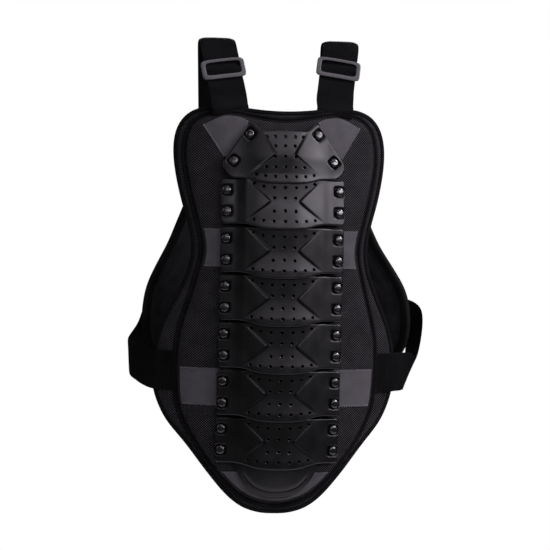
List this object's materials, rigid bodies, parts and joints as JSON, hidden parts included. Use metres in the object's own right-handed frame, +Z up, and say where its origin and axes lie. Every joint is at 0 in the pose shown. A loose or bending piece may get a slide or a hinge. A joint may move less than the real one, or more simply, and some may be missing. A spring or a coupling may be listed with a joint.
{
  "type": "back protector",
  "caption": "Riding back protector: padded back panel with overlapping riveted armour plates, chest panel, shoulder straps with sliders and hook-and-loop side belts.",
  "frame": {"origin": "middle of the flat patch of the back panel's lining, on the lining's inner face", "axes": "+Z up along the spine, +Y from the back panel towards the wearer's chest, +X to the right for someone who looks along +Y at the armour"},
  "size_m": [0.4339, 0.2325, 0.663],
  "materials": {
    "mesh_fabric": "black spacer mesh, matte",
    "lining": "black knitted lining, matte",
    "foam": "closed-cell foam sheet",
    "binding": "black woven binding tape",
    "patch": "dark grey woven cloth",
    "plate": "moulded black plastic, satin",
    "rivet": "black domed rivet, glossy",
    "webbing": "black elastic webbing",
    "slider": "moulded dark grey plastic",
    "hook_loop": "black hook-and-loop cloth"
  },
  "bodies": {
    "back_panel": {"back_cover": "mesh_fabric", "back_foam": "foam", "back_liner": "lining", "back_binding": "binding", "back_seam_tape": "binding", "shoulder_patch_left": "patch", "shoulder_patch_right": "patch", "waist_band": "patch", "hip_band": "patch", "shoulder_strap_back_left": "webbing", "shoulder_strap_back_right": "webbing", "belt_rear_left": "webbing", "belt_rear_right": "webbing"},
    "tail": {"tail_cover": "mesh_fabric", "tail_foam": "foam", "tail_liner": "lining", "tail_binding": "binding", "tail_seam_tape": "binding", "tail_patch": "patch", "tail_plate": "plate"},
    "armour_1": {"plate_1": "plate", "rivets_1_left": "rivet", "rivets_1_right": "rivet"},
    "armour_2": {"plate_2": "plate", "rivets_2_left": "rivet", "rivets_2_right": "rivet"},
    "armour_3": {"plate_3": "plate", "rivets_3_left": "rivet", "rivets_3_right": "rivet"},
    "armour_4": {"plate_4": "plate", "rivets_4_left": "rivet", "rivets_4_right": "rivet"},
    "armour_5": {"plate_5": "plate", "rivets_5_left": "rivet", "rivets_5_right": "rivet"},
    "armour_6": {"plate_6": "plate", "rivets_6_left": "rivet", "rivets_6_right": "rivet"},
    "armour_7": {"plate_7": "plate", "rivets_7_left": "rivet", "rivets_7_right": "rivet"},
    "chest_panel": {"chest_cover": "mesh_fabric", "chest_foam": "foam", "chest_liner": "lining", "chest_binding": "binding", "shoulder_strap_front_left": "webbing", "shoulder_strap_front_right": "webbing", "loop_patch_left": "hook_loop", "loop_patch_right": "hook_loop"},
    "belt_left": {"belt_front_left": "webbing", "hook_pad_left": "hook_loop"},
    "slider_left": {"strap_slider_left": "slider"},
    "belt_right": {"belt_front_right": "webbing", "hook_pad_right": "hook_loop"},
    "slider_right": {"strap_slider_right": "slider"}
  },
  "joints": [
    {"name": "tail_flex", "type": "hinge", "parent": "back_panel", "child": "tail", "pos_m": [0, 0.016, -0.172], "axis": [1, 0, 0], "range_deg": [-8, 8], "stiffness_Nm_per_rad": 1.5},
    {"name": "plate_1_lift", "type": "hinge", "parent": "back_panel", "child": "armour_1", "pos_m": [0, -0.00097, 0.22002], "axis": [-1, 0, 0], "range_deg": [0, 5], "stiffness_Nm_per_rad": 0.3},
    {"name": "plate_2_lift", "type": "hinge", "parent": "back_panel", "child": "armour_2", "pos_m": [0, -0.01131, 0.15584], "axis": [-1, 0, 0], "range_deg": [0, 5], "stiffness_Nm_per_rad": 0.3},
    {"name": "plate_3_lift", "type": "hinge", "parent": "back_panel", "child": "armour_3", "pos_m": [0, -0.01657, 0.089], "axis": [-1, 0, 0], "range_deg": [0, 5], "stiffness_Nm_per_rad": 0.3},
    {"name": "plate_4_lift", "type": "hinge", "parent": "back_panel", "child": "armour_4", "pos_m": [0, -0.0171, 0.02277], "axis": [-1, 0, 0], "range_deg": [0, 5], "stiffness_Nm_per_rad": 0.3},
    {"name": "plate_5_lift", "type": "hinge", "parent": "back_panel", "child": "armour_5", "pos_m": [0, -0.0171, -0.04304], "axis": [-1, 0, 0], "range_deg": [0, 5], "stiffness_Nm_per_rad": 0.3},
    {"name": "plate_6_lift", "type": "hinge", "parent": "back_panel", "child": "armour_6", "pos_m": [0, -0.01649, -0.10916], "axis": [-1, 0, 0], "range_deg": [0, 5], "stiffness_Nm_per_rad": 0.3},
    {"name": "plate_7_lift", "type": "hinge", "parent": "tail", "child": "armour_7", "pos_m": [0, -0.01374, -0.17538], "axis": [-1, 0, 0], "range_deg": [0, 5], "stiffness_Nm_per_rad": 0.3},
    {"name": "chest_swing", "type": "hinge", "parent": "back_panel", "child": "chest_panel", "pos_m": [0, 0.08039, 0.34886], "axis": [1, 0, 0], "range_deg": [0, 8], "stiffness_Nm_per_rad": 3},
    {"name": "belt_left_open", "type": "hinge", "parent": "chest_panel", "child": "belt_left", "pos_m": [-0.2011, 0.092, -0.08], "axis": [-0.0016, -0.6862, 0.7274], "range_deg": [0, 110], "stiffness_Nm_per_rad": 0.02},
    {"name": "belt_right_open", "type": "hinge", "parent": "chest_panel", "child": "belt_right", "pos_m": [0.21908, 0.09181, -0.08], "axis": [0.1168, 0.6706, -0.7325], "range_deg": [0, 110], "stiffness_Nm_per_rad": 0.02},
    {"name": "slider_left_slide", "type": "slide", "parent": "back_panel", "child": "slider_left", "axis": [-0.1533, 0.4144, 0.8971], "range_m": [-0.03, 0.015]},
    {"name": "slider_right_slide", "type": "slide", "parent": "back_panel", "child": "slider_right", "axis": [0.1533, 0.4144, 0.8971], "range_m": [-0.03, 0.015]}
  ]
}
